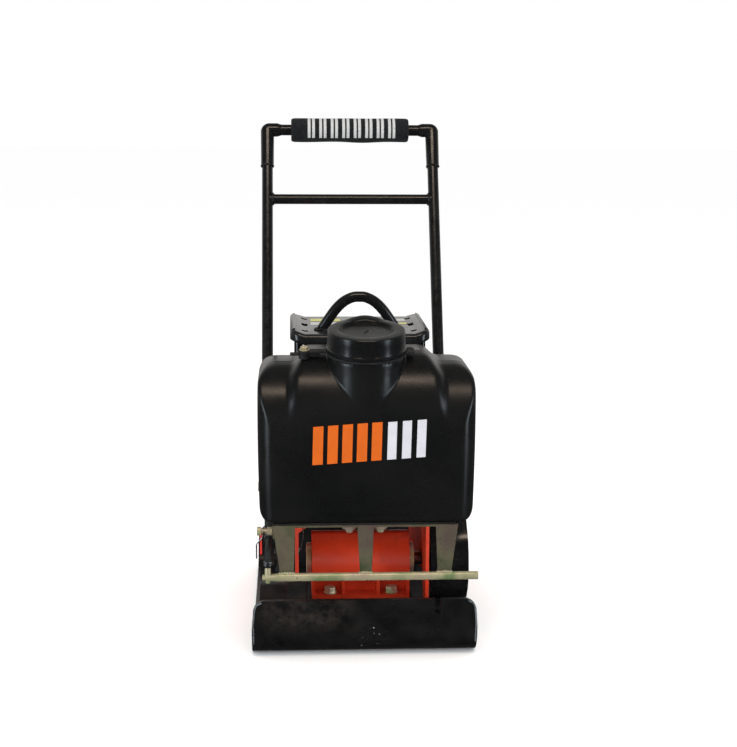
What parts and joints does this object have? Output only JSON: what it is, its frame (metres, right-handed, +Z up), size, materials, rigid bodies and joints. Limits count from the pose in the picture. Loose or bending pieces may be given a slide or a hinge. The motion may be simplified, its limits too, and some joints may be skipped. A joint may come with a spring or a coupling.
{
  "type": "plate compactor",
  "caption": "walk-behind plate compactor: vibrating base plate with exciter, engine deck on rubber feet, front water tank with spray bar, folding handle",
  "frame": {"origin": "middle of the flat sole of the base plate, on the ground", "axes": "+Z up; -Y to the machine's front, where the water tank and spray bar are; +X to the belt guard's side"},
  "size_m": [0.38, 0.7609, 0.8968],
  "materials": {
    "gloss_black": "gloss",
    "dusty_black": "satin, scuffed",
    "orange_red": "semi-gloss",
    "yellow_zinc": "iridescent zinc plating",
    "bare_steel": "satin",
    "tank_black": "satin",
    "cast_alloy": "cast",
    "rubber": "matt",
    "red_plastic": "satin",
    "dark_plastic": "satin"
  },
  "bodies": {
    "chassis": {"belt_guard": "gloss_black", "fan_shroud": "gloss_black", "recoil_starter": "gloss_black", "fuel_tank": "gloss_black", "guard_tray": "gloss_black", "guard_frame": "gloss_black", "lifting_arch": "gloss_black", "base_plate": "dusty_black", "base_ramp": "dusty_black", "exciter_housing": "orange_red", "engine_deck": "orange_red", "exciter_cover_left": "yellow_zinc", "exciter_cover_right": "yellow_zinc", "exciter_bolt_front_left": "yellow_zinc", "exciter_bolt_back_left": "yellow_zinc", "exciter_bolt_front_right": "yellow_zinc", "exciter_bolt_back_right": "yellow_zinc", "handle_pivot_left": "yellow_zinc", "handle_pivot_right": "yellow_zinc", "tank_bracket": "yellow_zinc", "spray_bar": "yellow_zinc", "retaining_pin": "yellow_zinc", "exciter_bearing_left": "bare_steel", "exciter_bearing_right": "bare_steel", "water_tank": "tank_black", "engine_crankcase": "cast_alloy", "engine_cylinder": "cast_alloy", "cylinder_head": "cast_alloy", "muffler": "cast_alloy", "carburettor": "cast_alloy", "drive_belt": "rubber", "isolator_front_left": "rubber", "isolator_back_left": "rubber", "isolator_front_right": "rubber", "isolator_back_right": "rubber", "handle_stop_left": "rubber", "handle_stop_right": "rubber", "cap_tether": "rubber", "water_hose": "rubber", "air_cleaner": "dark_plastic", "spark_plug": "dark_plastic", "water_valve": "dark_plastic"},
    "handle": {"handle_frame": "gloss_black", "handle_bow": "gloss_black", "grip_pad": "rubber"},
    "exciter_rotor": {"exciter_shaft": "bare_steel", "exciter_pulley": "bare_steel"},
    "crank": {"crankshaft": "bare_steel", "flywheel": "cast_alloy", "clutch_drum": "bare_steel"},
    "throttle": {"throttle_lever": "red_plastic"},
    "choke": {"choke_lever": "dark_plastic"},
    "fuel_valve": {"fuel_valve_lever": "dark_plastic"},
    "switch": {"stop_switch": "red_plastic"},
    "starter_grip": {"recoil_grip": "dark_plastic"},
    "fuel_filler_cap": {"fuel_cap": "dark_plastic"},
    "water_cap": {"tank_cap": "tank_black"},
    "water_lever": {"water_valve_lever": "red_plastic"},
    "wire_pin": {"hairpin": "bare_steel"},
    "dipstick": {"oil_dipstick": "dark_plastic"}
  },
  "joints": [
    {"name": "handle_fold", "type": "hinge", "parent": "chassis", "child": "handle", "pos_m": [0, 0.142, 0.195], "axis": [1, 0, 0], "range_deg": [0, 56]},
    {"name": "crank_spin", "type": "hinge", "parent": "chassis", "child": "crank", "pos_m": [0.138, 0.095, 0.284], "axis": [1, 0, 0], "continuous": true},
    {"name": "exciter_spin", "type": "hinge", "parent": "chassis", "child": "exciter_rotor", "pos_m": [0.138, -0.057, 0.11], "axis": [1, 0, 0], "continuous": true},
    {"name": "throttle_turn", "type": "hinge", "parent": "chassis", "child": "throttle", "pos_m": [-0.103, 0.043, 0.328], "axis": [1, 0, 0], "range_deg": [-25, 35]},
    {"name": "choke_turn", "type": "hinge", "parent": "chassis", "child": "choke", "pos_m": [-0.0908, -0.012, 0.376], "axis": [1, 0, 0], "range_deg": [-20, 45]},
    {"name": "fuel_valve_turn", "type": "hinge", "parent": "chassis", "child": "fuel_valve", "pos_m": [-0.0908, 0.002, 0.362], "axis": [1, 0, 0], "range_deg": [0, 40]},
    {"name": "switch_turn", "type": "hinge", "parent": "chassis", "child": "switch", "pos_m": [-0.103, 0.029, 0.292], "axis": [1, 0, 0], "range_deg": [0, 90]},
    {"name": "starter_pull", "type": "slide", "parent": "chassis", "child": "starter_grip", "axis": [-1, 0, 0], "range_m": [0, 0.3], "stiffness_N_per_m": 20},
    {"name": "fuel_cap_turn", "type": "hinge", "parent": "chassis", "child": "fuel_filler_cap", "pos_m": [-0.03, 0.105, 0.4703], "axis": [0, 0, 1], "range_deg": [0, 90]},
    {"name": "tank_cap_lift", "type": "slide", "parent": "chassis", "child": "water_cap", "axis": [0, -0.1564, 0.9877], "range_m": [0, 0.08]},
    {"name": "water_lever_turn", "type": "hinge", "parent": "chassis", "child": "water_lever", "pos_m": [-0.1728, -0.195, 0.196], "axis": [1, 0, 0], "range_deg": [0, 90]},
    {"name": "wire_pin_swing", "type": "hinge", "parent": "chassis", "child": "wire_pin", "pos_m": [-0.168, -0.25, 0.219], "axis": [1, 0, 0], "range_deg": [-40, 40]},
    {"name": "dipstick_draw", "type": "slide", "parent": "chassis", "child": "dipstick", "axis": [0, 1, 0], "range_m": [0, 0.06]}
  ],
  "couplings": [
    {"joint": "exciter_spin", "follows": "crank_spin", "ratio": 1.39}
  ]
}
